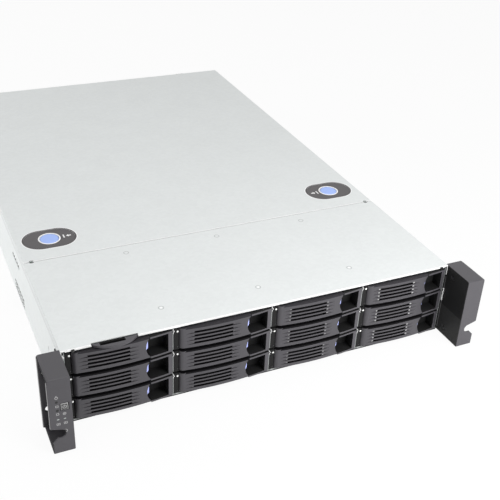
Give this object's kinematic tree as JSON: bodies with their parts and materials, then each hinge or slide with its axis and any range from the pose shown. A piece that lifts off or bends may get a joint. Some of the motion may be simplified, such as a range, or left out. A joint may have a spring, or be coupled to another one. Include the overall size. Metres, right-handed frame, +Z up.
{
  "type": "rack server",
  "caption": "Low rack-mount server: folded steel case with a split lid, rack ears, a grid of hot-swap drive trays with bowed levers, and pull-out power supplies.",
  "frame": {"origin": "middle of the whole object's footprint, on the surface that it rests on", "axes": "+X to the right as seen from the drive bays, +Y to the rear, +Z up"},
  "size_m": [0.4826, 0.754, 0.0875],
  "materials": {
    "plated_sheet": "satin zinc-plated sheet",
    "screw_steel": "plain",
    "dark_paint": "fine matte powder coat",
    "tray_and_drive": "dark frame on a bare casting",
    "lever_plastic": "fine grain",
    "dark_plastic": "fine grain",
    "black_plastic": "plain",
    "blue_plastic": "satin",
    "circuit_board": "solder mask",
    "bare_aluminium": "bare",
    "supply_shell": "satin"
  },
  "bodies": {
    "server": {"chassis_base": "plated_sheet", "front_cover": "plated_sheet", "drive_cage": "plated_sheet", "backplane": "circuit_board", "mainboard": "circuit_board", "cpu_heatsinks": "bare_aluminium", "memory_modules": "circuit_board", "expansion_cards": "circuit_board", "rear_panel": "plated_sheet", "fasteners": "screw_steel", "left_ear": "dark_paint", "right_ear": "dark_paint", "fan_frames": "black_plastic"},
    "rear_cover": {"rear_cover": "plated_sheet"},
    "cover_button_left": {"cover_button_left": "blue_plastic"},
    "cover_button_right": {"cover_button_right": "blue_plastic"},
    "power_button": {"power_button": "dark_plastic"},
    "pull_tag": {"pull_tag": "dark_plastic"},
    "psu_1": {"psu_1": "supply_shell"},
    "psu_2": {"psu_2": "supply_shell"},
    "fan_rotor_1": {"fan_rotor_1": "black_plastic"},
    "fan_rotor_2": {"fan_rotor_2": "black_plastic"},
    "fan_rotor_3": {"fan_rotor_3": "black_plastic"},
    "fan_rotor_4": {"fan_rotor_4": "black_plastic"},
    "drive_tray_01": {"drive_tray_01": "tray_and_drive"},
    "tray_lever_01": {"tray_lever_01": "lever_plastic"},
    "tray_latch_01": {"tray_latch_01": "blue_plastic"},
    "drive_tray_02": {"drive_tray_02": "tray_and_drive"},
    "tray_lever_02": {"tray_lever_02": "lever_plastic"},
    "tray_latch_02": {"tray_latch_02": "blue_plastic"},
    "drive_tray_03": {"drive_tray_03": "tray_and_drive"},
    "tray_lever_03": {"tray_lever_03": "lever_plastic"},
    "tray_latch_03": {"tray_latch_03": "blue_plastic"},
    "drive_tray_04": {"drive_tray_04": "tray_and_drive"},
    "tray_lever_04": {"tray_lever_04": "lever_plastic"},
    "tray_latch_04": {"tray_latch_04": "blue_plastic"},
    "drive_tray_05": {"drive_tray_05": "tray_and_drive"},
    "tray_lever_05": {"tray_lever_05": "lever_plastic"},
    "tray_latch_05": {"tray_latch_05": "blue_plastic"},
    "drive_tray_06": {"drive_tray_06": "tray_and_drive"},
    "tray_lever_06": {"tray_lever_06": "lever_plastic"},
    "tray_latch_06": {"tray_latch_06": "blue_plastic"},
    "drive_tray_07": {"drive_tray_07": "tray_and_drive"},
    "tray_lever_07": {"tray_lever_07": "lever_plastic"},
    "tray_latch_07": {"tray_latch_07": "blue_plastic"},
    "drive_tray_08": {"drive_tray_08": "tray_and_drive"},
    "tray_lever_08": {"tray_lever_08": "lever_plastic"},
    "tray_latch_08": {"tray_latch_08": "blue_plastic"},
    "drive_tray_09": {"drive_tray_09": "tray_and_drive"},
    "tray_lever_09": {"tray_lever_09": "lever_plastic"},
    "tray_latch_09": {"tray_latch_09": "blue_plastic"},
    "drive_tray_10": {"drive_tray_10": "tray_and_drive"},
    "tray_lever_10": {"tray_lever_10": "lever_plastic"},
    "tray_latch_10": {"tray_latch_10": "blue_plastic"},
    "drive_tray_11": {"drive_tray_11": "tray_and_drive"},
    "tray_lever_11": {"tray_lever_11": "lever_plastic"},
    "tray_latch_11": {"tray_latch_11": "blue_plastic"},
    "drive_tray_12": {"drive_tray_12": "tray_and_drive"},
    "tray_lever_12": {"tray_lever_12": "lever_plastic"},
    "tray_latch_12": {"tray_latch_12": "blue_plastic"}
  },
  "joints": [
    {"name": "rear_cover_slide", "type": "slide", "parent": "server", "child": "rear_cover", "axis": [0, 1, 0], "range_m": [0, 0.02]},
    {"name": "cover_button_left_press", "type": "slide", "parent": "rear_cover", "child": "cover_button_left", "axis": [0, 0, -1], "range_m": [0, 0.002], "stiffness_N_per_m": 500, "springref_m": -0.001},
    {"name": "cover_button_right_press", "type": "slide", "parent": "rear_cover", "child": "cover_button_right", "axis": [0, 0, -1], "range_m": [0, 0.002], "stiffness_N_per_m": 500, "springref_m": -0.001},
    {"name": "power_button_press", "type": "slide", "parent": "server", "child": "power_button", "axis": [0, 1, 0], "range_m": [0, 0.0015], "stiffness_N_per_m": 500, "springref_m": -0.001},
    {"name": "pull_tag_slide", "type": "slide", "parent": "server", "child": "pull_tag", "axis": [0, -1, 0], "range_m": [0, 0.04]},
    {"name": "psu_1_slide", "type": "slide", "parent": "server", "child": "psu_1", "axis": [0, 1, 0], "range_m": [0, 0.18]},
    {"name": "psu_2_slide", "type": "slide", "parent": "server", "child": "psu_2", "axis": [0, 1, 0], "range_m": [0, 0.18]},
    {"name": "fan_1_spin", "type": "hinge", "parent": "server", "child": "fan_rotor_1", "pos_m": [-0.156, -0.094, 0.0412], "axis": [0, 1, 0], "continuous": true},
    {"name": "fan_2_spin", "type": "hinge", "parent": "server", "child": "fan_rotor_2", "pos_m": [-0.052, -0.094, 0.0412], "axis": [0, 1, 0], "continuous": true},
    {"name": "fan_3_spin", "type": "hinge", "parent": "server", "child": "fan_rotor_3", "pos_m": [0.052, -0.094, 0.0412], "axis": [0, 1, 0], "continuous": true},
    {"name": "fan_4_spin", "type": "hinge", "parent": "server", "child": "fan_rotor_4", "pos_m": [0.156, -0.094, 0.0412], "axis": [0, 1, 0], "continuous": true},
    {"name": "tray_01_slide", "type": "slide", "parent": "server", "child": "drive_tray_01", "axis": [0, -1, 0], "range_m": [0, 0.16]},
    {"name": "lever_01_hinge", "type": "hinge", "parent": "drive_tray_01", "child": "tray_lever_01", "pos_m": [-0.2034, -0.336, 0.0712], "axis": [0, 0, -1], "range_deg": [0, 75]},
    {"name": "latch_01_slide", "type": "slide", "parent": "drive_tray_01", "child": "tray_latch_01", "axis": [-1, 0, 0], "range_m": [0, 0.003], "stiffness_N_per_m": 400, "springref_m": -0.001},
    {"name": "tray_02_slide", "type": "slide", "parent": "server", "child": "drive_tray_02", "axis": [0, -1, 0], "range_m": [0, 0.16]},
    {"name": "lever_02_hinge", "type": "hinge", "parent": "drive_tray_02", "child": "tray_lever_02", "pos_m": [-0.0954, -0.336, 0.0712], "axis": [0, 0, -1], "range_deg": [0, 75]},
    {"name": "latch_02_slide", "type": "slide", "parent": "drive_tray_02", "child": "tray_latch_02", "axis": [-1, 0, 0], "range_m": [0, 0.003], "stiffness_N_per_m": 400, "springref_m": -0.001},
    {"name": "tray_03_slide", "type": "slide", "parent": "server", "child": "drive_tray_03", "axis": [0, -1, 0], "range_m": [0, 0.16]},
    {"name": "lever_03_hinge", "type": "hinge", "parent": "drive_tray_03", "child": "tray_lever_03", "pos_m": [0.0126, -0.336, 0.0712], "axis": [0, 0, -1], "range_deg": [0, 75]},
    {"name": "latch_03_slide", "type": "slide", "parent": "drive_tray_03", "child": "tray_latch_03", "axis": [-1, 0, 0], "range_m": [0, 0.003], "stiffness_N_per_m": 400, "springref_m": -0.001},
    {"name": "tray_04_slide", "type": "slide", "parent": "server", "child": "drive_tray_04", "axis": [0, -1, 0], "range_m": [0, 0.16]},
    {"name": "lever_04_hinge", "type": "hinge", "parent": "drive_tray_04", "child": "tray_lever_04", "pos_m": [0.1206, -0.336, 0.0712], "axis": [0, 0, -1], "range_deg": [0, 75]},
    {"name": "latch_04_slide", "type": "slide", "parent": "drive_tray_04", "child": "tray_latch_04", "axis": [-1, 0, 0], "range_m": [0, 0.003], "stiffness_N_per_m": 400, "springref_m": -0.001},
    {"name": "tray_05_slide", "type": "slide", "parent": "server", "child": "drive_tray_05", "axis": [0, -1, 0], "range_m": [0, 0.16]},
    {"name": "lever_05_hinge", "type": "hinge", "parent": "drive_tray_05", "child": "tray_lever_05", "pos_m": [-0.2034, -0.336, 0.0432], "axis": [0, 0, -1], "range_deg": [0, 75]},
    {"name": "latch_05_slide", "type": "slide", "parent": "drive_tray_05", "child": "tray_latch_05", "axis": [-1, 0, 0], "range_m": [0, 0.003], "stiffness_N_per_m": 400, "springref_m": -0.001},
    {"name": "tray_06_slide", "type": "slide", "parent": "server", "child": "drive_tray_06", "axis": [0, -1, 0], "range_m": [0, 0.16]},
    {"name": "lever_06_hinge", "type": "hinge", "parent": "drive_tray_06", "child": "tray_lever_06", "pos_m": [-0.0954, -0.336, 0.0432], "axis": [0, 0, -1], "range_deg": [0, 75]},
    {"name": "latch_06_slide", "type": "slide", "parent": "drive_tray_06", "child": "tray_latch_06", "axis": [-1, 0, 0], "range_m": [0, 0.003], "stiffness_N_per_m": 400, "springref_m": -0.001},
    {"name": "tray_07_slide", "type": "slide", "parent": "server", "child": "drive_tray_07", "axis": [0, -1, 0], "range_m": [0, 0.16]},
    {"name": "lever_07_hinge", "type": "hinge", "parent": "drive_tray_07", "child": "tray_lever_07", "pos_m": [0.0126, -0.336, 0.0432], "axis": [0, 0, -1], "range_deg": [0, 75]},
    {"name": "latch_07_slide", "type": "slide", "parent": "drive_tray_07", "child": "tray_latch_07", "axis": [-1, 0, 0], "range_m": [0, 0.003], "stiffness_N_per_m": 400, "springref_m": -0.001},
    {"name": "tray_08_slide", "type": "slide", "parent": "server", "child": "drive_tray_08", "axis": [0, -1, 0], "range_m": [0, 0.16]},
    {"name": "lever_08_hinge", "type": "hinge", "parent": "drive_tray_08", "child": "tray_lever_08", "pos_m": [0.1206, -0.336, 0.0432], "axis": [0, 0, -1], "range_deg": [0, 75]},
    {"name": "latch_08_slide", "type": "slide", "parent": "drive_tray_08", "child": "tray_latch_08", "axis": [-1, 0, 0], "range_m": [0, 0.003], "stiffness_N_per_m": 400, "springref_m": -0.001},
    {"name": "tray_09_slide", "type": "slide", "parent": "server", "child": "drive_tray_09", "axis": [0, -1, 0], "range_m": [0, 0.16]},
    {"name": "lever_09_hinge", "type": "hinge", "parent": "drive_tray_09", "child": "tray_lever_09", "pos_m": [-0.2034, -0.336, 0.0152], "axis": [0, 0, -1], "range_deg": [0, 75]},
    {"name": "latch_09_slide", "type": "slide", "parent": "drive_tray_09", "child": "tray_latch_09", "axis": [-1, 0, 0], "range_m": [0, 0.003], "stiffness_N_per_m": 400, "springref_m": -0.001},
    {"name": "tray_10_slide", "type": "slide", "parent": "server", "child": "drive_tray_10", "axis": [0, -1, 0], "range_m": [0, 0.16]},
    {"name": "lever_10_hinge", "type": "hinge", "parent": "drive_tray_10", "child": "tray_lever_10", "pos_m": [-0.0954, -0.336, 0.0152], "axis": [0, 0, -1], "range_deg": [0, 75]},
    {"name": "latch_10_slide", "type": "slide", "parent": "drive_tray_10", "child": "tray_latch_10", "axis": [-1, 0, 0], "range_m": [0, 0.003], "stiffness_N_per_m": 400, "springref_m": -0.001},
    {"name": "tray_11_slide", "type": "slide", "parent": "server", "child": "drive_tray_11", "axis": [0, -1, 0], "range_m": [0, 0.16]},
    {"name": "lever_11_hinge", "type": "hinge", "parent": "drive_tray_11", "child": "tray_lever_11", "pos_m": [0.0126, -0.336, 0.0152], "axis": [0, 0, -1], "range_deg": [0, 75]},
    {"name": "latch_11_slide", "type": "slide", "parent": "drive_tray_11", "child": "tray_latch_11", "axis": [-1, 0, 0], "range_m": [0, 0.003], "stiffness_N_per_m": 400, "springref_m": -0.001},
    {"name": "tray_12_slide", "type": "slide", "parent": "server", "child": "drive_tray_12", "axis": [0, -1, 0], "range_m": [0, 0.16]},
    {"name": "lever_12_hinge", "type": "hinge", "parent": "drive_tray_12", "child": "tray_lever_12", "pos_m": [0.1206, -0.336, 0.0152], "axis": [0, 0, -1], "range_deg": [0, 75]},
    {"name": "latch_12_slide", "type": "slide", "parent": "drive_tray_12", "child": "tray_latch_12", "axis": [-1, 0, 0], "range_m": [0, 0.003], "stiffness_N_per_m": 400, "springref_m": -0.001}
  ]
}
